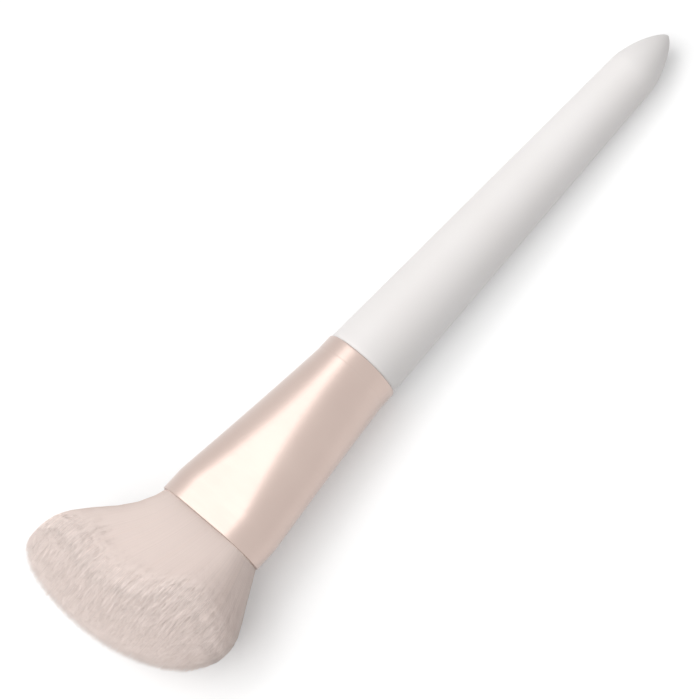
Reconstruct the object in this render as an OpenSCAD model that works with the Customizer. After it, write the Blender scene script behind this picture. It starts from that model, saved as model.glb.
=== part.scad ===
// Blush brush with a slanted fan tuft, a pressed metal ferrule and a tapered handle.
// Lengths are in millimetres. The brush lies on a surface: +X runs to the tuft, +Y to the
// short side of the slanted cut and +Z up. The origin is under the middle of the whole brush.

/* [Handle] */

// Length of handle that shows behind the ferrule
handle_length = 88.5; // [65:0.5:130]
// Diameter where the handle meets the ferrule
handle_diameter = 15.7; // [13.5:0.1:20]
// Diameter where the straight taper ends and the pointed end begins
tail_diameter = 10; // [7:0.1:12.5]
// Length of the pointed end
tail_length = 11.1; // [6:0.1:20]
// Length of the turned tenon inside the ferrule
tenon_length = 15; // [8:0.5:20]
// Chamfer at the inner end of the tenon
tenon_chamfer = 0.8; // [0.2:0.1:1.5]
// Air left between the end of the tenon and the pressed walls
tenon_clearance = 0.35; // [0.1:0.05:1]

/* [Ferrule] */

// Length of the ferrule
ferrule_length = 42; // [36:0.5:60]
// Thickness of the metal
ferrule_wall = 0.4; // [0.3:0.05:0.8]
// How far the metal stands proud of the handle at the joint
ferrule_proud = 0.25; // [0.15:0.05:0.5]
// Length of the round collar that grips the tenon
collar_length = 3; // [2:0.5:6]
// Width of the pressed mouth, outside
mouth_width = 24.7; // [21:0.1:30]
// Thickness of the pressed mouth, outside
mouth_thickness = 11.6; // [10.5:0.1:14.5]
// Length at the mouth that keeps one section
mouth_band = 5; // [4.5:0.25:12]
// Step where the pressed part leaves the collar
press_step = 0.05; // [0.03:0.01:0.1]

/* [Tuft] */

// Reach of the longest hair beyond the mouth
tuft_length = 29; // [27:0.2:45]
// Reach of the hair at the long side of the slanted cut
long_side = 25; // [20:0.2:27]
// Reach of the hair at the short side of the slanted cut
short_side = 18.4; // [14:0.2:24]
// Width of the tuft at its fullest
tuft_width = 42; // [34:0.2:50]
// Thickness of the tuft at its fullest
tuft_thickness = 22.4; // [18:0.2:26]
// How far the tuft leans to its long side
tuft_lean = 2.4; // [0:0.1:5]
// How much shorter the outermost layers are than the middle ones
crown_drop = 5; // [1:0.2:7]
// Uneven reach among the hairs
hair_ragged = 0.5; // [0:0.1:1]
// Diameter of one strand at its thickest
strand_diameter = 1.15; // [0.6:0.05:1.2]
// Strands across the widest row
strands_across = 31; // [25:1:33]
// Rows of strands through the thickness
strand_rows = 15; // [12:1:16]

/* [Glue and binding] */

// Film of adhesive round the tenon
glue_film = 0.1; // [0.05:0.05:0.2]
// Distance from the mouth's rim to the bonded roots
root_recess = 0.5; // [0.3:0.1:1]
// Thickness of the bonded slice of roots
root_slice = 1.2; // [0.9:0.1:1.7]
// Length of the resin plug behind the roots
plug_length = 2.8; // [2:0.1:3.2]
// Air between the plug or the roots and the ferrule
plug_clearance = 0.1; // [0.05:0.05:0.2]
// Width of the thread wrapped round the plug
binding_width = 1.2; // [0.8:0.1:1.8]
// Depth of the thread wrapped round the plug
binding_depth = 0.6; // [0.3:0.1:1]

/* [View] */

// Piece to draw

/* [Hidden] */

$fn = 96;
overrun = 1;

// Distances along the axis are counted from the joint, negative in the handle.
taper_length = handle_length - tail_length;
handle_radius = handle_diameter / 2;
tail_radius = tail_diameter / 2;
collar_radius = handle_radius + ferrule_proud;
collar_bore = collar_radius - ferrule_wall;
tenon_radius = collar_bore - glue_film;
press_start = ferrule_length - mouth_band;
mouth_radius = mouth_thickness / 2;
mouth_flat = (mouth_width - mouth_thickness) / 2;
root_face = ferrule_length - root_recess;
plug_face = root_face - root_slice;
plug_rear = plug_face - plug_length;
plug_radius = mouth_radius - ferrule_wall - plug_clearance;

// The pointed end narrows as a rounded ogive.
ogive_steps = 12;
ogive_onset_share = 1.5;
ogive_fullness_share = 0.7;

// One strand: where its rings lie along it, how far it has splayed there, and how thick it is.
ring_reach_shares = [0, 0.38, 0.76, 1];
ring_splay_shares = [0, 0.45, 1, 0.98];
ring_girth_shares = [0.52, 0.8, 1, 0];
strand_sides = 3;
strand_turn = 137.5;
peak_share = -0.28;
dome_edge_share = 0.96;
strand_radius = strand_diameter / 2;
root_radius = strand_radius * ring_girth_shares[0];
root_depth = root_slice / 2;
splay_room = root_recess;

function ogive_radius(share) =
    tail_radius * pow(1 - pow(share, ogive_onset_share), ogive_fullness_share);

// Half the thickness of the pressed wall's outside at a distance from the joint.
function press_radius(along) =
    collar_radius - press_step
    + (mouth_radius - collar_radius + press_step) * (along - collar_length) / (press_start - collar_length);

tenon_end_radius = press_radius(tenon_length) - ferrule_wall - tenon_clearance;

ogive = [for (i = [ogive_steps : -1 : 0])
    [i == ogive_steps ? 0 : ogive_radius(i / ogive_steps), -taper_length - tail_length * i / ogive_steps]];

// Half the chord of an oval of two half circles joined by flats.
function oval_chord(flat, radius, height) = flat + sqrt(max(0, radius * radius - height * height));

// The rounded end of the tuft: 1 at its peak and 0 at its side.
function dome(share) =
    let (edge = sqrt(1 - pow(dome_edge_share, 2)))
    (sqrt(1 - pow(dome_edge_share * share, 2)) - edge) / (1 - edge);

// The reach of the hair over the width: highest at the peak and lower towards both sides.
function hair_reach(across, layer) =
    let (
        side = across < peak_share ? long_side : short_side,
        share = abs(across - peak_share) / (across < peak_share ? 1 + peak_share : 1 - peak_share)
    )
    side + (tuft_length - side) * dome(share) - crown_drop * layer * layer;

// A repeatable unevenness between -1 and 1.
function uneven(i) = sin(i * 77.3 + 40 * sin(i * 31.7));

root_room = plug_radius - root_radius - splay_room;
fan_radius = tuft_thickness / 2 - strand_radius;
fan_flat = (tuft_width - tuft_thickness) / 2;

// Every strand as [place across, layer, number], both places from -1 to 1.
strands = [for (row = [0 : strand_rows - 1])
    let (
        layer = 2 * row / (strand_rows - 1) - 1,
        chord = oval_chord(fan_flat, fan_radius, layer * fan_radius),
        count = round(strands_across * chord / (fan_flat + fan_radius))
    )
    for (i = [0 : count - 1]) [2 * i / (count - 1) - 1, layer, row * strands_across + i]];

function strand_centre(strand, ring) =
    let (
        across = strand[0],
        layer = strand[1],
        reach = hair_reach(across, layer) + hair_ragged * uneven(strand[2]),
        root = [across * oval_chord(mouth_flat, root_room, layer * root_room), layer * root_room],
        full = [
            across * oval_chord(fan_flat, fan_radius, layer * fan_radius) - tuft_lean,
            layer * fan_radius
        ],
        start = root_face - root_depth,
        along = start + (ferrule_length + reach - start) * ring_reach_shares[ring],
        splay = ring_splay_shares[ring]
    )
    [along, root[0] + (full[0] - root[0]) * splay, root[1] + (full[1] - root[1]) * splay];

tip_ring = len(ring_reach_shares) - 1;

function strand_ring(strand, ring) =
    let (c = strand_centre(strand, ring), r = strand_radius * ring_girth_shares[ring])
    [for (k = [0 : strand_sides - 1])
        let (a = 360 * k / strand_sides + strand_turn * strand[2])
        [c[0], c[1] + r * cos(a), c[2] + r * sin(a)]];

strand_size = strand_sides * tip_ring + 1;

hair_points = [for (s = strands)
    each concat([for (ring = [0 : tip_ring - 1]) each strand_ring(s, ring)], [strand_centre(s, tip_ring)])];

hair_faces = [for (s = [0 : len(strands) - 1])
    let (base = s * strand_size, tip = base + strand_size - 1, last = tip - strand_sides)
    each concat(
        [[for (k = [0 : strand_sides - 1]) base + k]],
        [for (ring = [0 : tip_ring - 2], k = [0 : strand_sides - 1])
            let (a = base + ring * strand_sides + k, b = base + ring * strand_sides + (k + 1) % strand_sides)
            each [[a, a + strand_sides, b], [b, a + strand_sides, b + strand_sides]]],
        [for (k = [0 : strand_sides - 1]) [last + k, tip, last + (k + 1) % strand_sides]]
    )];

// The brush lies on its tail and on whichever comes lower, the collar's rim or the tuft.
rest_angle = max(
    atan((collar_radius - tail_radius) / taper_length),
    max([for (p = hair_points) atan((-p[2] - tail_radius) / (p[0] + taper_length))])
);
function lowered(along, up) = along * sin(rest_angle) + up * cos(rest_angle);
function forward(along, up) = along * cos(rest_angle) - up * sin(rest_angle);
lowest = min([for (p = ogive) lowered(p[1], -p[0])]);
rear_end = min([for (p = ogive) forward(p[1], p[0])]);
front_end = max([for (p = hair_points) forward(p[0], p[2])]);
left_side = min([for (p = hair_points) p[1]]);
right_side = max([for (p = hair_points) p[1]]);

echo(strands = len(strands), rest_angle = rest_angle, length = front_end - rear_end);

module in_place() {
    translate([-(rear_end + front_end) / 2, -(left_side + right_side) / 2, -lowest])
        rotate([0, -rest_angle, 0])
            children();
}

// Turns a shape that was drawn up the Z axis to lie along the brush.
module along_brush() {
    rotate([0, 90, 0])
        children();
}

module oval(flat, radius) {
    union() {
        translate([0, -flat])
            circle(r = radius);
        translate([0, flat])
            circle(r = radius);
        square([2 * radius, 2 * flat], center = true);
    }
}

module oval_block(flat, radius, from, to) {
    translate([0, 0, from])
        linear_extrude(height = to - from)
            oval(flat, radius);
}

// The pressed shape from the collar to the mouth, drawn in by the given amount.
module pressed_form(inset, past_mouth) {
    hull() {
        translate([0, 0, collar_length - press_step])
            cylinder(r = collar_radius - press_step - inset, h = press_step);
        oval_block(mouth_flat, mouth_radius - inset, press_start, ferrule_length + past_mouth);
    }
}

module handle() {
    color("#efe6e2")
        in_place()
            along_brush()
                rotate_extrude()
                    polygon(concat(
                        ogive,
                        [
                            [handle_radius, 0],
                            [tenon_radius, 0],
                            [tenon_radius, collar_length],
                            [tenon_end_radius, tenon_length - tenon_chamfer],
                            [tenon_end_radius - tenon_chamfer, tenon_length],
                            [0, tenon_length]
                        ]
                    ));
}

module ferrule() {
    color("#d9b8a8")
        in_place()
            along_brush()
                difference() {
                    union() {
                        cylinder(r = collar_radius, h = collar_length);
                        pressed_form(0, 0);
                    }
                    translate([0, 0, -overrun])
                        cylinder(r = collar_bore, h = collar_length + overrun);
                    pressed_form(ferrule_wall, overrun);
                }
}

module bristle_tuft() {
    color("#e0c8be")
        in_place()
            union() {
                along_brush()
                    oval_block(mouth_flat, plug_radius, plug_face, root_face);
                polyhedron(points = hair_points, faces = hair_faces);
            }
}

module epoxy_plug() {
    color("#c9a45c")
        in_place()
            along_brush()
                difference() {
                    oval_block(mouth_flat, plug_radius, plug_rear, plug_face);
                    binding_form();
                }
}

module binding_form() {
    middle = (plug_rear + plug_face) / 2;
    difference() {
        oval_block(mouth_flat, plug_radius, middle - binding_width / 2, middle + binding_width / 2);
        oval_block(mouth_flat, plug_radius - binding_depth, plug_rear, plug_face);
    }
}

module root_binding() {
    color("#f4f0e6")
        in_place()
            along_brush()
                binding_form();
}

module tenon_adhesive() {
    color("#b8a888")
        in_place()
            along_brush()
                difference() {
                    cylinder(r = collar_bore, h = collar_length);
                    translate([0, 0, -overrun])
                        cylinder(r = tenon_radius, h = collar_length + 2 * overrun);
                }
}

handle();
ferrule();
bristle_tuft();
epoxy_plug();
root_binding();
tenon_adhesive();
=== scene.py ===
import math

import bpy
import numpy as np
from mathutils import Matrix, Vector


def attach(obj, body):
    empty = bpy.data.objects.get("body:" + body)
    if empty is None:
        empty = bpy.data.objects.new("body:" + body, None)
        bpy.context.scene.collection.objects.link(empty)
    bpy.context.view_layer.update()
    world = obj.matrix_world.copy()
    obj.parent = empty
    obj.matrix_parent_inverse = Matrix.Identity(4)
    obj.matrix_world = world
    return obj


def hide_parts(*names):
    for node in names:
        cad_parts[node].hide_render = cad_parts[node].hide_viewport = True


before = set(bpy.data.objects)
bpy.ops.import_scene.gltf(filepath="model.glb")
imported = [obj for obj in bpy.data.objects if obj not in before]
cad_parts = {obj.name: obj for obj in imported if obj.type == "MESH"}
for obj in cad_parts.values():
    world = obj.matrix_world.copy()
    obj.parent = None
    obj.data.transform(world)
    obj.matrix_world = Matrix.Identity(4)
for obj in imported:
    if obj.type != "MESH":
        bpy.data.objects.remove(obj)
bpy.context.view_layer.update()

# ---------------------------------------------------------------- sizes, as in part.scad, in mm
HANDLE_LENGTH, HANDLE_RADIUS = 88.5, 7.85
TAIL_LENGTH, TAIL_RADIUS = 11.1, 5.0
OGIVE_ONSET, OGIVE_FULLNESS = 1.5, 0.7
TENON_LENGTH, TENON_CHAMFER, TENON_CLEARANCE, GLUE_FILM = 15.0, 0.8, 0.35, 0.1
FERRULE_LENGTH, FERRULE_PROUD, WALL, COLLAR_LENGTH = 42.0, 0.25, 0.4, 3.0
COLLAR_RADIUS = HANDLE_RADIUS + FERRULE_PROUD
MOUTH_RADIUS, MOUTH_FLAT, PRESS_END, PRESS_STEP = 5.8, 6.55, 37.0, 0.05
TENON_RADIUS = COLLAR_RADIUS - WALL - GLUE_FILM
TUFT_LENGTH, LONG_SIDE, SHORT_SIDE = 29.0, 25.0, 18.4
TUFT_WIDTH, TUFT_THICKNESS, TUFT_LEAN, CROWN_DROP = 42.0, 22.4, 2.4, 5.0
PEAK_SHARE, DOME_EDGE = -0.28, 0.96
ROOT_RECESS, ROOT_SLICE, PLUG_CLEARANCE = 0.5, 1.2, 0.1
PLUG_RADIUS = MOUTH_RADIUS - WALL - PLUG_CLEARANCE

# ---------------------------------------------------------------- where the brush lies
MM = 0.001
REST_ANGLE = math.radians(2.71569)
JOINT = Vector((8.50511, 2.38697, 8.6616)) * MM
PLACE = Matrix.Translation(JOINT) @ Matrix.Rotation(-REST_ANGLE, 4, "Y")

ROUND_STEPS = 128


def put_down(name, mesh):
    """A piece drawn along the brush's own axes, put where the brush lies."""
    piece = bpy.data.objects.new(name, mesh)
    bpy.context.scene.collection.objects.link(piece)
    piece.matrix_world = PLACE
    return piece


def mesh_object(name, points_mm, faces):
    """A smooth piece from points in mm."""
    mesh = bpy.data.meshes.new(name)
    mesh.from_pydata([tuple(p) for p in np.asarray(points_mm) * MM], [], faces)
    mesh.validate()
    mesh.shade_smooth()
    return put_down(name, mesh)


def skin(rings, closed_loop=False, start_pole=None, end_pole=None):
    """Points and faces of a tube through rings of equally many points.

    A closed loop joins its last ring to its first. A pole closes an end with one point.
    """
    count = len(rings[0])
    points = [p for ring in rings for p in ring]
    faces = []
    spans = len(rings) if closed_loop else len(rings) - 1
    for i in range(spans):
        a, b = i * count, ((i + 1) % len(rings)) * count
        for k in range(count):
            n = (k + 1) % count
            faces.append((a + k, a + n, b + n, b + k))
    if start_pole is not None:
        points.append(start_pole)
        faces += [(len(points) - 1, (k + 1) % count, k) for k in range(count)]
    if end_pole is not None:
        points.append(end_pole)
        base = (len(rings) - 1) * count
        faces += [(len(points) - 1, base + k, base + (k + 1) % count) for k in range(count)]
    return points, faces


def even_turns(count):
    """Angles evenly round a full turn."""
    return np.arange(count) * 2 * math.pi / count


# ---------------------------------------------------------------- handle
OGIVE_STEPS, OGIVE_CROWDING, TAPER_STEPS = 44, 1.8, 60
SHOULDER, SHOULDER_TURNS = 0.16, (30, 60, 90)
# Small steps that keep the shading crisp at the joint, at the tenon's relief and at its chamfer
JOINT_EDGE, SOFT_EDGE, EDGE_STEP = 0.04, 0.1, 0.01


def round_ring(along, radius):
    """A round section of the handle."""
    return [(along, radius * math.cos(a), radius * math.sin(a)) for a in even_turns(ROUND_STEPS)]


def handle_profile():
    """(along, radius) from the pointed end to the tenon."""
    taper = HANDLE_LENGTH - TAIL_LENGTH
    press = (TENON_LENGTH - COLLAR_LENGTH) / (PRESS_END - COLLAR_LENGTH)
    room = COLLAR_RADIUS - PRESS_STEP + (MOUTH_RADIUS - COLLAR_RADIUS + PRESS_STEP) * press
    tenon_end = room - WALL - TENON_CLEARANCE
    chamfer, tip = TENON_LENGTH - TENON_CHAMFER, tenon_end - TENON_CHAMFER
    profile = []
    for i in range(1, OGIVE_STEPS):
        share = 1 - (i / OGIVE_STEPS) ** OGIVE_CROWDING
        radius = TAIL_RADIUS * (1 - share ** OGIVE_ONSET) ** OGIVE_FULLNESS
        profile.append((-taper - TAIL_LENGTH * share, radius))
    for i in range(TAPER_STEPS + 1):
        along = -taper + (taper - SHOULDER) * (i / TAPER_STEPS)
        widening = (HANDLE_RADIUS - TAIL_RADIUS) * (along + taper) / taper
        profile.append((along, TAIL_RADIUS + widening))
    for turn in SHOULDER_TURNS:
        a = math.radians(turn)
        profile.append((-SHOULDER + SHOULDER * math.sin(a),
                        HANDLE_RADIUS - SHOULDER * (1 - math.cos(a))))
    profile += [
        (0.0, TENON_RADIUS + EDGE_STEP),
        (JOINT_EDGE, TENON_RADIUS),
        (COLLAR_LENGTH - SOFT_EDGE, TENON_RADIUS),
        (COLLAR_LENGTH + SOFT_EDGE, TENON_RADIUS - EDGE_STEP),
        (chamfer - SOFT_EDGE, tenon_end + EDGE_STEP),
        (chamfer + SOFT_EDGE / 2, tenon_end - SOFT_EDGE / 2),
        (TENON_LENGTH - SOFT_EDGE / 2, tip + SOFT_EDGE / 2),
        (TENON_LENGTH, tip - SOFT_EDGE),
    ]
    return profile


def build_handle():
    """The turned handle, from its pointed end to the end of its tenon."""
    rings = [round_ring(along, radius) for along, radius in handle_profile()]
    points, faces = skin(
        rings, start_pole=(-HANDLE_LENGTH, 0, 0), end_pole=(TENON_LENGTH, 0, 0))
    return mesh_object("handle_turned", points, faces)


# ---------------------------------------------------------------- ferrule
# Half the flat at the mouth, and how late it opens between the collar and there
PRESSED_FLAT, FLAT_OPENING = 5.4, 2.1
COLLAR_EASE, MOUTH_EASE = 0.3, 0.8
# The small step behind the collar: where it starts and ends, from the collar's end, and its ease
STEP_BEFORE, STEP_AFTER, STEP_EASE = 0.05, 0.1, 0.04
# Points round a section, the finer steps they are measured by, and how sharply its halves part
OVAL_POINTS, OVAL_STEPS, SHARP = 2 * ROUND_STEPS, 2881, 1e9
REAR_LIP, REAR_ROUNDING = 0.35, 0.7
LIP_TURNS = range(15, 180, 15)
# Places of the sections along the ferrule, closer together where its form changes
SECTIONS = [
    REAR_LIP, 0.8, 1.6, 2.4, 2.8, 2.92, 3.0, 3.1, 3.2, 3.5, 4.0, *np.arange(5.0, 35.6, 1.0),
    *np.arange(36.0, 38.1, 0.25), 38.6, 39.4, 40.2, 41.0, 41.5, FERRULE_LENGTH - WALL / 2]


def rounded_ramp(along, low, high, ease_low, ease_high):
    """0 before low and 1 after high, straight between, with both corners rounded."""
    slope = 1 / (high - low)
    if along < low - ease_low:
        return 0.0
    if along < low + ease_low:
        return slope * (along - low + ease_low) ** 2 / (4 * ease_low)
    if along > high + ease_high:
        return 1.0
    if along > high - ease_high:
        return 1 - slope * (high + ease_high - along) ** 2 / (4 * ease_high)
    return slope * (along - low)


def oval_points(flat, end, height):
    """Points evenly round an oval: straight above and below, with half an ellipse at each end."""
    fine = np.linspace(0, 2 * math.pi, OVAL_STEPS)
    y = end * np.cos(fine) + flat * np.clip(np.cos(fine) * SHARP, -1, 1)
    z = height * np.sin(fine)
    run = np.concatenate([[0], np.cumsum(np.hypot(np.diff(y), np.diff(z)))])
    at = (np.arange(OVAL_POINTS) + 0.5) / OVAL_POINTS * run[-1]
    return zip(np.interp(at, run, y), np.interp(at, run, z))


def ferrule_section(along, inset):
    """One section of the ferrule: round at the collar, then wider and flatter to the mouth."""
    press = rounded_ramp(along, COLLAR_LENGTH, PRESS_END, COLLAR_EASE, MOUTH_EASE)
    step = rounded_ramp(along, COLLAR_LENGTH - STEP_BEFORE, COLLAR_LENGTH + STEP_AFTER,
                        STEP_EASE, STEP_EASE)
    start = COLLAR_RADIUS - PRESS_STEP * step
    height = start + (MOUTH_RADIUS - start) * press
    width = start + (MOUTH_RADIUS + MOUTH_FLAT - start) * press
    flat = PRESSED_FLAT * press ** FLAT_OPENING
    return [(along, y, z) for y, z in oval_points(flat, width - flat - inset, height - inset)]


def build_ferrule():
    """The pressed tube: its outside, its rounded mouth, its inside and its rounded rear edge."""
    lip = WALL / 2
    rings = [ferrule_section(x, 0) for x in SECTIONS]
    for turn in LIP_TURNS:
        a = math.radians(turn)
        along = FERRULE_LENGTH - lip + lip * math.sin(a)
        rings.append(ferrule_section(along, lip - lip * math.cos(a)))
    rings += [ferrule_section(x, WALL) for x in reversed(SECTIONS)]
    for turn in LIP_TURNS:
        a = math.radians(turn)
        along = REAR_LIP - REAR_LIP * math.sin(a) ** REAR_ROUNDING
        rings.append(ferrule_section(along, lip + lip * math.cos(a)))
    points, faces = skin(rings, closed_loop=True)
    return mesh_object("ferrule_pressed", points, faces)


# ---------------------------------------------------------------- hair: sizes in mm, and counts
HAIR_SEED = 41
HAIR_COUNT, HAIR_RADIUS, HAIR_SIDES, CROWN_SIDES = 9600, 0.055, 4, 3
# Rings of hairs round the outside: how many, how deep the first and the rest lie, their sway
RIM_HAIRS, RIM_RINGS, RIM_PLAY, RIM_DEPTH, RIM_SWAY, RIM_PHASE = 1450, 5, 0.1, 0.5, 0.15, 0.618
# Tips that close the crown, and the rings of them at its edge
CROWN_HAIRS, CROWN_DEPTH, CROWN_SWAY = 18000, 0.06, 0.4
CROWN_RINGS, CROWN_STEP, CROWN_PHASE = 4, 0.28, 0.382
ROOT_MARGIN = 0.34
HAIR_ROOM = PLUG_RADIUS - HAIR_RADIUS - ROOT_MARGIN
FAN_FLAT, FAN_RADIUS = (TUFT_WIDTH - TUFT_THICKNESS) / 2, TUFT_THICKNESS / 2
# Shares of its length at which a hair has its points, the same for all hairs up to EVEN_PART
HAIR_PLACES = np.array([0.0, 0.13, 0.26, 0.39, 0.54, 0.71, 0.87, 1.0])
CROWN_PLACES = np.array([0.76, 0.85, 0.93, 1.0])
EVEN_PART = 0.54
# How far the hairs have splayed at the shares SPLAY_AT, in the middle and at the two sides
SPLAY_AT, SPLAY_FADE = [0.0, 0.38, 0.76, 1.0], 1.3
SPLAY, SPLAY_SLOPES = [0.0, 0.45, 1.0, 0.98], [1.05, 1.4, 0.55, -0.35]
LONG_SPLAY, LONG_SLOPES = [0.0, 0.42, 1.10, 1.15], [0.4, 2.0, 0.75, -0.15]
SHORT_SPLAY, SHORT_SLOPES = [0.0, 0.56, 1.02, 0.97], [1.5, 1.4, 0.4, -0.4]
# Uneven reach: of all hairs, of the few that are shorter still, and of those at the rim
HAIR_RAGGED, RAGGED_LIMITS = 0.3, (-0.9, 1.3)
SHORT_HAIRS, SHORT_BY = 0.08, (0.4, 2.6)
RIM_RAGGED, RIM_RAGGED_POWER = 2.4, 1.5
HAIR_SWAY, HAIR_BOW = 0.12, 0.05
THICKNESSES = (0.8, 1.15)
GIRTH_AT, GIRTHS = [0, 0.45, 0.88, 1.0], [0.9, 1.0, 0.9, 0.2]
# Each wave of the shared wander: turns across and through the tuft, where it starts, and its size
DRIFT_WAVES = (
    (1.9, 1.3, 0.7, 0.03), (1.1, -2.3, 2.1, 0.03), (4.3, -2.9, 1.2, 0.02), (3.7, 4.1, 0.2, 0.02))
# The rounded edge of the crown: how much shorter hairs are at the ends and on the faces
HAIR_PROUD, END_ROUND, FACE_ROUND, EDGE_DEPTH = 0.6, 1.2, 2.6, 3.2
# The round form whose shading the hairs share, by heights above the brush's axis
FORM_CENTRE, FORM_REACH = np.array((49.0, -5.0, -1.0)), np.array((24.0, 28.0, 11.2))
FORM_HEIGHTS, FORM_SHARES = [-3.0, 6.0], [0.4, 0.88]
CORE_INSET, CORE_SHORT, CORE_ROUND = 0.7, 1.3, 2.2
CORE_AROUND, CORE_ALONG, CORE_OVER, CORE_PHASE = 220, 40, 26, 0.5
LAYER_NAMES = (
    "hair_lower_layers", "hair_lower_core", "hair_middle_core", "hair_upper_core",
    "hair_upper_layers")
CROWN_NAMES = ("hair_lower_crown", "hair_upper_crown")

# Layout of the hairs' UV map: one band across for each tint, and root to tip upwards
UV_MAP = "OFBake"
TINTS, TINT_BLEND = 48, 3.0
BAND_START, BAND_WIDTH = 0.2, 0.6
HAIR_START, HAIR_SPAN = 0.02, 0.96
ROOT_WIDTH, ROOT_BELOW, ROOT_HEIGHT = 0.3, 0.01, 0.005
CORE_SIDES_SPAN, CORE_START, CORE_SPAN = 0.75, 0.01, 0.98


def smooth_curve(at, values, slopes, x):
    """A cubic through the values with the given slopes."""
    at, values, slopes = (np.asarray(v, float) for v in (at, values, slopes))
    i = np.clip(np.searchsorted(at, x, side="right") - 1, 0, len(at) - 2)
    h = at[i + 1] - at[i]
    t = (x - at[i]) / h
    return ((2 * t**3 - 3 * t**2 + 1) * values[i] + (t**3 - 2 * t**2 + t) * h * slopes[i]
            + (3 * t**2 - 2 * t**3) * values[i + 1] + (t**3 - t**2) * h * slopes[i + 1])


def oval_chord(flat, radius, height):
    """Half the width of an oval at a height above its middle."""
    return flat + np.sqrt(np.maximum(0, radius**2 - height**2))


def hair_reach(across, layer):
    """How far hairs reach beyond the mouth: a slanted cut, domed, and lower on the faces."""
    long = across < PEAK_SHARE
    side = np.where(long, LONG_SIDE, SHORT_SIDE)
    share = np.abs(across - PEAK_SHARE) / np.where(long, 1 + PEAK_SHARE, 1 - PEAK_SHARE)
    edge = math.sqrt(1 - DOME_EDGE**2)
    dome = (np.sqrt(1 - (DOME_EDGE * share) ** 2) - edge) / (1 - edge)
    return side + (TUFT_LENGTH - side) * dome - CROWN_DROP * layer**2


def spread_in_oval(count, flat, radius):
    """Evenly spread places in an oval, by a repeatable sequence."""
    plastic_number, tries = 1.32471795724, 3
    n = np.arange(1, tries * count)
    y = ((0.5 + n / plastic_number) % 1 * 2 - 1) * (flat + radius)
    z = ((0.5 + n / plastic_number**2) % 1 * 2 - 1) * radius
    inside = (np.maximum(np.abs(y) - flat, 0) ** 2 + z**2) < radius**2
    return y[inside][:count], z[inside][:count]


def rim_of_oval(count, phase, flat, radius):
    """Evenly spread places round the outside of an oval."""
    girth = 2 * math.pi * radius + 4 * flat
    quarter = math.pi * radius / 2
    y, z = np.empty(count), np.empty(count)
    for k in range(count):
        d = (k + phase) / count * girth
        if d < quarter:
            a = d / radius
            y[k], z[k] = flat + radius * math.cos(a), radius * math.sin(a)
        elif d < quarter + 2 * flat:
            y[k], z[k] = flat - (d - quarter), radius
        elif d < 3 * quarter + 2 * flat:
            a = (d - 2 * flat) / radius
            y[k], z[k] = -flat + radius * math.cos(a), radius * math.sin(a)
        elif d < 3 * quarter + 4 * flat:
            y[k], z[k] = -flat + (d - 3 * quarter - 2 * flat), -radius
        else:
            a = (d - 4 * flat) / radius
            y[k], z[k] = flat + radius * math.cos(a), radius * math.sin(a)
    return y, z


def root_place(across, layer, inset):
    """Where a hair leaves the bonded roots, from its shares across the oval and through it."""
    radius = HAIR_ROOM - inset
    z = layer * radius
    return across * oval_chord(MOUTH_FLAT, radius, z), z


def fan_place(across, layer, inset):
    """Where the same hair lies when it has splayed, drawn in from the fan's outside."""
    radius = FAN_RADIUS - HAIR_RADIUS - inset
    z = layer * radius
    return across * oval_chord(FAN_FLAT, radius, z) - TUFT_LEAN, z


def tuft_lines(across, layer, places, inset, short_by):
    """Points of the lines that fill the tuft, as (line, place along it, xyz).

    A shorter line is cut off, not bent. Up to EVEN_PART all have their points at the same
    places, so that they lie evenly side by side.
    """
    y0, z0 = root_place(across, layer, inset)
    y1, z1 = fan_place(across, layer, inset)
    start = FERRULE_LENGTH - ROOT_RECESS - ROOT_SLICE / 2
    reach = hair_reach((y1 + TUFT_LEAN) / oval_chord(FAN_FLAT, FAN_RADIUS, z1), z1 / FAN_RADIUS)
    run = FERRULE_LENGTH + reach - start
    cut = np.clip((places - EVEN_PART) / (1 - EVEN_PART), 0, 1)
    t = places[None, :] - cut * (short_by / run)[:, None]
    splay = smooth_curve(SPLAY_AT, SPLAY, SPLAY_SLOPES, t)
    sideways = splay.copy()
    for share, values, slopes in (
            (-across, LONG_SPLAY, LONG_SLOPES), (across, SHORT_SPLAY, SHORT_SLOPES)):
        more = smooth_curve(SPLAY_AT, values, slopes, t) - splay
        sideways += more * np.clip(share, 0, 1)[:, None] ** SPLAY_FADE
    y = y0[:, None] + (y1 - y0)[:, None] * sideways
    z = z0[:, None] + (z1 - z0)[:, None] * splay
    return np.stack([start + run[:, None] * t, y, z], axis=2)


def edge_trim(across, layer, inset):
    """How much shorter the outermost hairs are, which rounds the edge of the crown."""
    y, z = fan_place(across, layer, inset)
    depth = FAN_RADIUS - np.hypot(np.maximum(np.abs(y + TUFT_LEAN) - FAN_FLAT, 0), z)
    rounding = END_ROUND + (FACE_ROUND - END_ROUND) * layer**2
    return rounding * np.clip(1 - depth / EDGE_DEPTH, 0, 1) ** 2


def rim_shares(count, phase):
    """Shares across and through the oval of places evenly round the outside of the fan."""
    y, z = rim_of_oval(count, phase, FAN_FLAT, FAN_RADIUS)
    layer = np.clip(z / FAN_RADIUS, -1, 1)
    return np.clip(y / oval_chord(FAN_FLAT, FAN_RADIUS, z), -1, 1), layer


def inner_shares(count, flat, radius):
    """The same shares of places spread over a whole oval."""
    y, z = spread_in_oval(count, flat, radius)
    return np.clip(y / oval_chord(flat, radius, z), -1, 1), np.clip(z / radius, -1, 1)


def joined(groups):
    """Groups of hairs, each two arrays of shares and three plain values, as five long arrays."""
    filled = [(across, layer, *(np.full(len(layer), value) for value in values))
              for across, layer, *values in groups]
    return [np.concatenate(parts) for parts in zip(*filled)]


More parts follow.
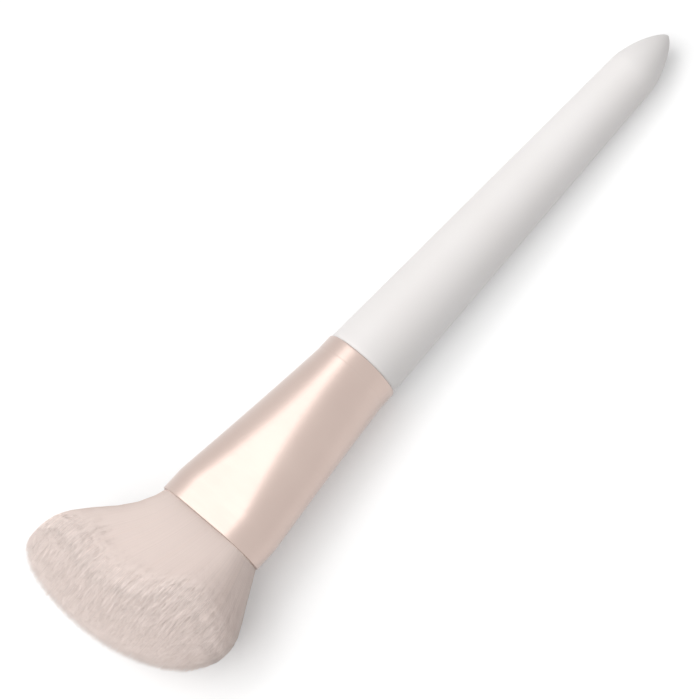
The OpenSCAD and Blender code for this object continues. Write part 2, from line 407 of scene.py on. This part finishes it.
def hair_places():
    """Every hair's shares across and through the oval, its depth, its play and its raggedness."""
    groups = [(*inner_shares(HAIR_COUNT, MOUTH_FLAT, HAIR_ROOM), RIM_DEPTH, 1.0, 0.0)]
    for ring in range(RIM_RINGS):
        depth = RIM_PLAY + ring * (RIM_DEPTH - RIM_PLAY) / RIM_RINGS
        shares = rim_shares(RIM_HAIRS, (ring * RIM_PHASE) % 1)
        groups.append((*shares, depth, RIM_SWAY, RIM_RAGGED))
    return joined(groups)


def crown_places():
    """The same for the tips that close the crown, which stand closest at its edge."""
    groups = [(*inner_shares(CROWN_HAIRS, FAN_FLAT, FAN_RADIUS), CROWN_DEPTH, CROWN_SWAY, 0.0)]
    for ring in range(CROWN_RINGS):
        depth = CROWN_DEPTH + (ring + 0.5) * CROWN_STEP
        shares = rim_shares(RIM_HAIRS, (ring * CROWN_PHASE) % 1)
        groups.append((*shares, depth, CROWN_SWAY, 0.0))
    return joined(groups)


def drift(y, z):
    """A slow sideways wander that neighbouring hairs share."""
    wave = np.zeros((2, len(y)))
    for k, (a, b, c, size) in enumerate(DRIFT_WAVES):
        wave[k % 2] += size * np.sin(a * y + b * z + c)
    return wave


def hair_paths(hair, places, rng):
    """Centre lines of the hairs, as (hair, place, xyz), with their layers and radii."""
    across, layer, inset, free, uneven = hair
    count = len(across)
    ragged = np.clip(rng.normal(0, HAIR_RAGGED, count), *RAGGED_LIMITS)
    short = rng.random(count) < SHORT_HAIRS
    ragged = np.where(short, ragged + rng.uniform(*SHORT_BY, count), ragged)
    ragged = ragged + uneven * rng.random(count) ** RIM_RAGGED_POWER
    short_by = ragged + edge_trim(across, layer, inset) - HAIR_PROUD
    paths = tuft_lines(across, layer, places, inset, short_by)
    t = places[None, :]
    shared = drift(*fan_place(across, layer, inset))
    sway = rng.normal(0, HAIR_SWAY, (2, count)) * free
    bow = rng.normal(0, HAIR_BOW, (2, count)) * free
    for k in (0, 1):
        swung = (shared[k] + sway[k])[:, None] * t**2
        paths[:, :, k + 1] += swung + bow[k, :, None] * np.sin(np.pi * t)

    thick = HAIR_RADIUS * rng.uniform(*THICKNESSES, count)
    return paths, layer, thick[:, None] * np.interp(places, GIRTH_AT, GIRTHS)[None, :]


def shade_as_tuft(mesh, points):
    """Shades a piece partly as if the tuft were one smooth round form, most of all on top."""
    out = (points - FORM_CENTRE) / FORM_REACH ** 2
    out /= np.linalg.norm(out, axis=-1, keepdims=True)
    own = np.empty(points.size, np.float32)
    mesh.vertices.foreach_get("normal", own)
    share = np.interp(points[:, 2], FORM_HEIGHTS, FORM_SHARES)[:, None]
    normals = out * share + own.reshape(-1, 3) * (1 - share)
    normals /= np.linalg.norm(normals, axis=1, keepdims=True)
    mesh.normals_split_custom_set_from_vertices(normals)


def hair_points(sides, paths, radii, turns):
    """Points of the hairs, as (hair, point, xyz): rings at all places but the last, the tip."""
    tangent = np.gradient(paths, axis=1)
    tangent /= np.linalg.norm(tangent, axis=2, keepdims=True)
    reference = np.stack([np.zeros(len(turns)), np.cos(turns), np.sin(turns)], axis=1)
    one = np.cross(tangent, reference[:, None, :])
    one /= np.linalg.norm(one, axis=2, keepdims=True)
    two = np.cross(tangent, one)
    angles = even_turns(sides)[:, None]
    out = np.cos(angles) * one[:, :-1, None, :] + np.sin(angles) * two[:, :-1, None, :]
    rings = paths[:, :-1, None, :] + radii[:, :-1, None, None] * out
    return np.concatenate([rings.reshape(len(paths), -1, 3), paths[:, -1:, :]], axis=1)


def hair_faces(sides, places):
    """Corners, sizes and UV of one hair's faces: its sides, its pointed tip and its root."""
    corners, sizes, uv = [], [], []
    v = HAIR_START + HAIR_SPAN * places
    last = len(places) - 2
    for r in range(last + 1):
        a, b = r * sides, (r + 1) * sides
        for k in range(sides):
            n = (k + 1) % sides
            u0, u1 = k / sides, (k + 1) / sides
            if r < last:
                corners += [a + k, a + n, b + n, b + k]
                uv += [(u0, v[r]), (u1, v[r]), (u1, v[r + 1]), (u0, v[r + 1])]
                sizes.append(4)
            else:
                corners += [a + k, a + n, b]
                uv += [(u0, v[r]), (u1, v[r]), ((u0 + u1) / 2, v[r + 1])]
                sizes.append(3)
    corners += reversed(range(sides))
    uv += [(0.5 - ROOT_WIDTH * math.cos(a), v[0] - ROOT_BELOW - ROOT_HEIGHT * math.sin(a))
           for a in even_turns(sides)]
    sizes.append(sides)
    return np.array(corners), sizes, np.array(uv)


def hair_mesh(name, sides, paths, places, radii, tints, turns):
    """Many thin hairs as one piece, each closed at its root and drawn to a point at its tip."""
    points = hair_points(sides, paths, radii, turns)
    count, per_hair = points.shape[:2]
    corners, sizes, uv = hair_faces(sides, places)
    corners = (corners + per_hair * np.arange(count)[:, None]).ravel()
    sizes = np.tile(sizes, count)
    starts = np.concatenate([[0], np.cumsum(sizes)[:-1]])
    uv = np.tile(uv, (count, 1, 1))
    uv[:, :, 0] = (tints[:, None] + BAND_START + BAND_WIDTH * uv[:, :, 0]) / TINTS

    mesh = bpy.data.meshes.new(name)
    mesh.vertices.add(count * per_hair)
    mesh.vertices.foreach_set("co", (points * MM).astype(np.float32).ravel())
    mesh.loops.add(len(corners))
    mesh.loops.foreach_set("vertex_index", corners.astype(np.int32))
    mesh.polygons.add(len(sizes))
    mesh.polygons.foreach_set("loop_start", starts.astype(np.int32))
    mesh.polygons.foreach_set("loop_total", sizes.astype(np.int32))
    layout = mesh.uv_layers.new(name=UV_MAP)
    layout.data.foreach_set("uv", uv.astype(np.float32).ravel())
    mesh.update(calc_edges=True)
    mesh.shade_smooth()
    shade_as_tuft(mesh, points.reshape(-1, 3))
    return put_down(name, mesh)


def build_hair():
    """The hairs and the tips of the crown, split by height into pieces of equally many."""
    rng = np.random.default_rng(HAIR_SEED)
    pieces = []
    for hair, places, sides, names in (
            (hair_places(), HAIR_PLACES, HAIR_SIDES, LAYER_NAMES),
            (crown_places(), CROWN_PLACES, CROWN_SIDES, CROWN_NAMES)):
        paths, layer, radii = hair_paths(hair, places, rng)
        # Each hair's tint band follows its height, so that the painted shade in the hair's colour
        # can darken the upper hairs
        height = (layer + 1) / 2 * (TINTS - 1) + rng.normal(0, TINT_BLEND, len(paths))
        tints = np.clip(np.round(height), 0, TINTS - 1).astype(int)
        turns = rng.uniform(0, math.pi, len(paths))
        part = np.digitize(layer, np.quantile(layer, np.arange(1, len(names)) / len(names)))
        for i, name in enumerate(names):
            own = part == i
            pieces.append(hair_mesh(
                name, sides, paths[own], places, radii[own], tints[own], turns[own]))
    return pieces


def build_core():
    """The close-packed hair under the loose outer layer, as one smooth form."""
    across, layer = rim_shares(CORE_AROUND, CORE_PHASE)

    def ring(share, t):
        sides, layers = across * share, layer * share
        short_by = CORE_SHORT + CORE_ROUND * edge_trim(sides, layers, CORE_INSET)
        return tuft_lines(sides, layers, np.array([0.0, t]), CORE_INSET, short_by)[:, 1]

    rings, spread = [], []
    for k in range(CORE_ALONG + 1):
        rings.append(ring(1.0, k / CORE_ALONG))
        spread.append(CORE_SIDES_SPAN * k / CORE_ALONG)
    for k in range(1, CORE_OVER):
        rings.append(ring(math.cos(math.pi / 2 * k / CORE_OVER), 1.0))
        spread.append(CORE_SIDES_SPAN + (1 - CORE_SIDES_SPAN) * k / CORE_OVER)
    points, faces = skin([list(map(tuple, r)) for r in rings],
                         start_pole=tuple(ring(0.0, 0.0)[0]), end_pole=tuple(ring(0.0, 1.0)[0]))
    core = mesh_object("hair_core", points, faces)
    shade_as_tuft(core.data, np.array(points))
    lay_out_core(core.data, spread)
    return core


def lay_out_core(mesh, spread):
    """UV of the core: once round across, and from its root over its crown upwards."""
    layout = mesh.uv_layers.new(name=UV_MAP)
    around = CORE_AROUND
    poles = {len(spread) * around: 0.0, len(spread) * around + 1: 1.0}
    for face in mesh.polygons:
        corners = [mesh.loops[i].vertex_index for i in face.loop_indices]
        turns = [c % around for c in corners if c not in poles]
        wraps = max(turns) - min(turns) > 1
        for i, corner in zip(face.loop_indices, corners):
            if corner in poles:
                u, v = min(turns) + (around - 0.5 if wraps else 0.5), poles[corner]
            else:
                u, v = corner % around, CORE_START + CORE_SPAN * spread[corner // around]
                u += around if wraps and u == 0 else 0
            layout.data[i].uv = (u / around, v)


# ---------------------------------------------------------------- materials
# Pairs of colours that a material's noise blends between, and where on the noise it does so
LACQUER = (0.82, 0.79, 0.775), (0.845, 0.82, 0.81)
METAL = (0.58, 0.455, 0.405), (0.612, 0.487, 0.433)
PACKED_HAIR = (0.94, 0.81, 0.76), (1.0, 0.875, 0.825)
RESIN = (0.50, 0.31, 0.10), (0.62, 0.42, 0.17)
THREAD = (0.62, 0.58, 0.50), (0.86, 0.83, 0.76)
GLUE = (0.45, 0.39, 0.27), (0.53, 0.47, 0.34)
BLEND_EDGES, THREAD_EDGES = (0.3, 0.7), (0.2, 0.8)
# Hair colours from root to tip, lighter towards the tip, partly as real tips are and partly as
# painted light for the shade the hairs cast on one another in the crown; and the tints that
# single hairs have over them
FIBRE_SHADES = (
    (0.0, (0.92, 0.78, 0.722)), (0.65, (0.90, 0.765, 0.71)), (0.9, (0.94, 0.81, 0.755)),
    (1.0, (1.0, 0.875, 0.82)))
TIP_SHADES = ((0.7, (0.93, 0.79, 0.735)), (0.85, (0.98, 0.84, 0.785)), (1.0, (1.0, 0.875, 0.82)))
HAIR_TINTS = ((0.0, (0.93, 0.92, 0.91)), (0.5, (1.0, 1.0, 1.0)), (1.0, (1.0, 0.98, 0.965)))
# Painted light and shade: how much darker the upper hairs are drawn than the lower ones, which
# stand lighter for light passing through real hair into the shaded underside; and the heights
# over which they become so, as shares
PAINTED_UPPER_SHADE, PAINTED_SHADE_EDGES = 0.88, (0.5, 0.8)
HAIR_GLOSS = {"Specular_IOR_Level": 0.2, "Sheen_Weight": 0.8, "Sheen_Roughness": 0.5,
              "Sheen_Tint": (1.0, 0.93, 0.89, 1.0)}
WHITE = (1, 1, 1, 1)


class Look:
    """Builds one Principled material from nodes."""

    def __init__(self, name, **plain):
        self.material = bpy.data.materials.new(name)
        self.material.use_nodes = True
        self.nodes, self.links = self.material.node_tree.nodes, self.material.node_tree.links
        self.shader = self.nodes["Principled BSDF"]
        for socket, value in plain.items():
            self.shader.inputs[socket.replace("_", " ")].default_value = value

    def add(self, kind, settings=None, **inputs):
        """A node with its settings and inputs. An input is named, or numbered as in _0."""
        node = self.nodes.new(kind)
        for key, value in (settings or {}).items():
            setattr(node, key, value)
        for key, value in inputs.items():
            number = key[1:]
            socket = node.inputs[int(number) if number.isdigit() else key.replace("_", " ")]
            if isinstance(value, bpy.types.NodeSocket):
                self.links.new(value, socket)
            else:
                socket.default_value = value
        return node

    def feed(self, socket, output):
        """Links an output to the shader."""
        self.links.new(output, self.shader.inputs[socket])

    def ramp(self, factor, stops):
        """A colour that changes through stops of (place, colour)."""
        node = self.add("ShaderNodeValToRGB", Fac=factor)
        elements = node.color_ramp.elements
        while len(elements) < len(stops):
            elements.new(0.5)
        for element, (place, colour) in zip(elements, stops):
            element.position = place
            element.color = (*colour, 1)
        return node.outputs["Color"]

    def blend(self, factor, colours, edges=BLEND_EDGES):
        """The first colour below the first edge, the second above the second one."""
        return self.ramp(factor, tuple(zip(edges, colours)))

    def between(self, factor, low, high):
        """A number that goes from low to high with the factor."""
        node = self.add("ShaderNodeMapRange", Value=factor, To_Min=low, To_Max=high)
        return node.outputs["Result"]

    def noise(self, where, scale, stretch=(1, 1, 1), detail=3.0):
        """Noise of a scale, finer along an axis with a larger stretch."""
        mapping = self.add("ShaderNodeMapping", Vector=where, Scale=stretch)
        return self.add("ShaderNodeTexNoise", Vector=mapping.outputs["Vector"], Scale=scale,
                        Detail=detail).outputs["Fac"]

    def bump(self, height, strength, distance):
        """Fine relief, with its height in metres."""
        node = self.add("ShaderNodeBump", Strength=strength, Distance=distance, Height=height)
        self.feed("Normal", node.outputs["Normal"])

    def times(self, one, two):
        """The product of two colours."""
        node = self.add("ShaderNodeMix", {"data_type": "RGBA", "blend_type": "MULTIPLY"})
        node.inputs["Factor"].default_value = 1.0
        self.links.new(one, node.inputs[6])
        self.links.new(two, node.inputs[7])
        return node.outputs[2]

    def place(self):
        """The place on the piece, in metres."""
        return self.add("ShaderNodeTexCoord").outputs["Object"]

    def hair_layout(self):
        """The place in the hair's UV map."""
        return self.add("ShaderNodeUVMap", {"uv_map": UV_MAP}).outputs["UV"]


def lacquer():
    """White lacquer with a satin sheen."""
    look = Look("satin_lacquer", IOR=1.45, Coat_Weight=0.08, Coat_Roughness=0.35)
    place = look.place()
    look.feed("Base Color", look.blend(look.noise(place, scale=45, detail=2), LACQUER))
    look.feed("Roughness", look.between(look.noise(place, scale=260), low=0.42, high=0.54))
    look.bump(look.noise(place, scale=700, detail=2), strength=0.12, distance=0.00003)
    return look.material


def pressed_metal():
    """Pale rose-gold metal under a clear coat, with faint lines round it."""
    look = Look("champagne_metal", Metallic=1.0, Coat_Weight=1.0, Coat_Roughness=0.3)
    place = look.place()
    lines = look.noise(place, scale=1, stretch=(9000, 140, 140), detail=2)
    look.feed("Base Color", look.blend(look.noise(place, scale=70), METAL))
    look.feed("Roughness", look.between(lines, low=0.36, high=0.48))
    look.bump(lines, strength=0.06, distance=0.00001)
    return look.material


def hair_fibre(name, shades, painted_shade_above):
    """Single hairs, coloured from root to tip, each a little lighter or darker than the next. If
    asked, the upper hairs are drawn darker, as painted shade.
    """
    look = Look(name, Roughness=0.7, **HAIR_GLOSS)
    parts = look.add("ShaderNodeSeparateXYZ", Vector=look.hair_layout())
    band = look.add("ShaderNodeMath", {"operation": "MULTIPLY"},
                    _0=parts.outputs["X"], _1=float(TINTS))
    whole = look.add("ShaderNodeMath", {"operation": "FLOOR"}, _0=band.outputs[0])
    pick = look.add("ShaderNodeTexWhiteNoise", {"noise_dimensions": "1D"}, W=whole.outputs[0])
    tint = look.ramp(pick.outputs["Value"], HAIR_TINTS)
    colour = look.times(look.ramp(parts.outputs["Y"], shades), tint)
    # Painted shade: the colour is darkened on the upper hairs, so the lower ones stand lighter
    if painted_shade_above:
        shade = look.blend(parts.outputs["X"], (WHITE[:3], (PAINTED_UPPER_SHADE,) * 3), PAINTED_SHADE_EDGES)
        colour = look.times(colour, shade)
    look.feed("Base Color", colour)
    return look.material


def packed_hair():
    """Close-packed hair, drawn as streaks on the core."""
    look = Look("packed_hair", **HAIR_GLOSS)
    streaks = look.noise(look.hair_layout(), scale=1, stretch=(620, 9, 1), detail=4)
    look.feed("Base Color", look.blend(streaks, PACKED_HAIR))
    look.feed("Roughness", look.between(streaks, low=0.65, high=0.8))
    look.bump(streaks, strength=0.6, distance=0.00015)
    return look.material


def resin():
    """Cured amber resin."""
    look = Look("amber_resin", IOR=1.5)
    place = look.place()
    look.feed("Base Color", look.blend(look.noise(place, scale=180), RESIN))
    look.feed("Roughness", look.between(look.noise(place, scale=500), low=0.12, high=0.3))
    return look.material


def thread():
    """Undyed thread, wound round."""
    look = Look("binding_thread", Roughness=0.85)
    wave = look.add("ShaderNodeTexWave", {"bands_direction": "X"}, Vector=look.place(),
                    Scale=520.0, Distortion=0.6).outputs["Fac"]
    look.feed("Base Color", look.blend(wave, THREAD, THREAD_EDGES))
    look.bump(wave, strength=0.5, distance=0.00015)
    return look.material


def adhesive():
    """Dried wood glue."""
    look = Look("tenon_glue")
    place = look.place()
    look.feed("Base Color", look.blend(look.noise(place, scale=300), GLUE))
    look.feed("Roughness", look.between(look.noise(place, scale=420), low=0.5, high=0.7))
    return look.material


# ---------------------------------------------------------------- pieces
handle = build_handle()
ferrule = build_ferrule()
hair = build_hair()

for piece, look, node, slot in (
        (handle, lacquer(), "handle", "handle_lacquer"),
        (ferrule, pressed_metal(), "ferrule", "ferrule_metal")):
    piece.data.materials.append(look)
    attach(piece, "root")
    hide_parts(node)

core = build_core()
core.data.materials.append(packed_hair())
fibre = hair_fibre("soft_fibre", FIBRE_SHADES, painted_shade_above=True)
# The crown's tips get lighter colours, partly as painted light for the crown's self-shade
tips = hair_fibre("soft_tips", TIP_SHADES, painted_shade_above=False)
for piece in hair:
    piece.data.materials.append(tips if piece.name in CROWN_NAMES else fibre)
for piece in (*hair, core):
    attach(piece, "root")
    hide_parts("bristle_tuft")

for node, look in (
        ("epoxy_plug", resin()), ("root_binding", thread()), ("tenon_adhesive", adhesive())):
    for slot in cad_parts[node].material_slots:
        slot.material = look

# ---------------------------------------------------------------- floor, light and camera
FLOOR_SIZE = 8.0
FLOOR_COLOUR = (0.72, 0.72, 0.72)
FLOOR_GLOW = 0.3
AMBIENT, ROOM = 0.32, 1.0
# Each lamp as (name, strength, width in degrees, direction it shines from, seen in gloss)
LAMPS = (
    ("key", 2.34, 70.0, Vector((0.52, -0.083, 0.85)), False),
    ("panel", 0.46, 27.0, Vector((-0.08, -0.45, 0.889)), True),
)
# The camera's place in mm and its turn, along the brush's own axes
CAMERA_PLACE = Vector((86.2824, 220.4230, 440.4340))
CAMERA_RIGHT = Vector((-0.671184, 0.705752, -0.226773))
CAMERA_UP = Vector((-0.720664, -0.549566, 0.422634))
CAMERA_BACK = Vector((0.173648, 0.447093, 0.877471))
CAMERA_LENS, CAMERA_SENSOR = 136.8, 36.0


def seen_rays(nodes, links):
    """1 for the rays that show the room itself: the camera's, and those in metal and glass."""
    path = nodes.new("ShaderNodeLightPath")
    seen = path.outputs["Is Camera Ray"]
    for ray in ("Is Glossy Ray", "Is Transmission Ray"):
        add = nodes.new("ShaderNodeMath")
        add.operation = "MAXIMUM"
        links.new(seen, add.inputs[0])
        links.new(path.outputs[ray], add.inputs[1])
        seen = add.outputs[0]
    return seen


def build_floor():
    """A pale floor that looks white and still takes the brush's shadow."""
    half = FLOOR_SIZE / 2
    corners = [(-half, -half, 0), (half, -half, 0), (half, half, 0), (-half, half, 0)]
    mesh = bpy.data.meshes.new("floor")
    mesh.from_pydata(corners, [], [(0, 1, 2, 3)])
    floor = bpy.data.objects.new("floor", mesh)
    bpy.context.scene.collection.objects.link(floor)
    look = Look("pale_floor", Roughness=0.9, Specular_IOR_Level=0.1,
                Base_Color=(*FLOOR_COLOUR, 1), Emission_Color=WHITE)
    glow = look.add("ShaderNodeMath", {"operation": "MULTIPLY"},
                    _0=seen_rays(look.nodes, look.links), _1=FLOOR_GLOW)
    look.feed("Emission Strength", glow.outputs[0])
    mesh.materials.append(look.material)


def build_world():
    """Soft light from all round. The camera and the metal see it as a white room."""
    world = bpy.data.worlds.new("studio")
    bpy.context.scene.world = world
    world.use_nodes = True
    nodes, links = world.node_tree.nodes, world.node_tree.links
    nodes.clear()
    light, room = nodes.new("ShaderNodeBackground"), nodes.new("ShaderNodeBackground")
    for background, strength in ((light, AMBIENT), (room, ROOM)):
        background.inputs["Color"].default_value = WHITE
        background.inputs["Strength"].default_value = strength
    mix, output = nodes.new("ShaderNodeMixShader"), nodes.new("ShaderNodeOutputWorld")
    links.new(seen_rays(nodes, links), mix.inputs["Fac"])
    links.new(light.outputs[0], mix.inputs[1])
    links.new(room.outputs[0], mix.inputs[2])
    links.new(mix.outputs[0], output.inputs["Surface"])


def build_lamps():
    """The broad key light, and the panel that the metal mirrors."""
    for name, strength, width, source, in_gloss in LAMPS:
        lamp = bpy.data.lights.new(name, "SUN")
        lamp.energy = strength
        lamp.angle = math.radians(width)
        stand = bpy.data.objects.new(name, lamp)
        stand.rotation_mode = "QUATERNION"
        stand.rotation_quaternion = source.to_track_quat("Z", "Y")
        stand.visible_glossy = in_gloss
        bpy.context.scene.collection.objects.link(stand)


def build_camera():
    """The photograph's camera."""
    data = bpy.data.cameras.new("camera")
    data.sensor_width = CAMERA_SENSOR
    data.lens = CAMERA_LENS
    camera = bpy.data.objects.new("camera", data)
    turn = Matrix((CAMERA_RIGHT, CAMERA_UP, CAMERA_BACK)).transposed().to_4x4()
    camera.matrix_world = PLACE @ Matrix.Translation(CAMERA_PLACE * MM) @ turn
    bpy.context.scene.collection.objects.link(camera)
    bpy.context.scene.camera = camera


build_floor()
build_world()
build_lamps()
build_camera()
bpy.context.scene.view_settings.view_transform = "Standard"
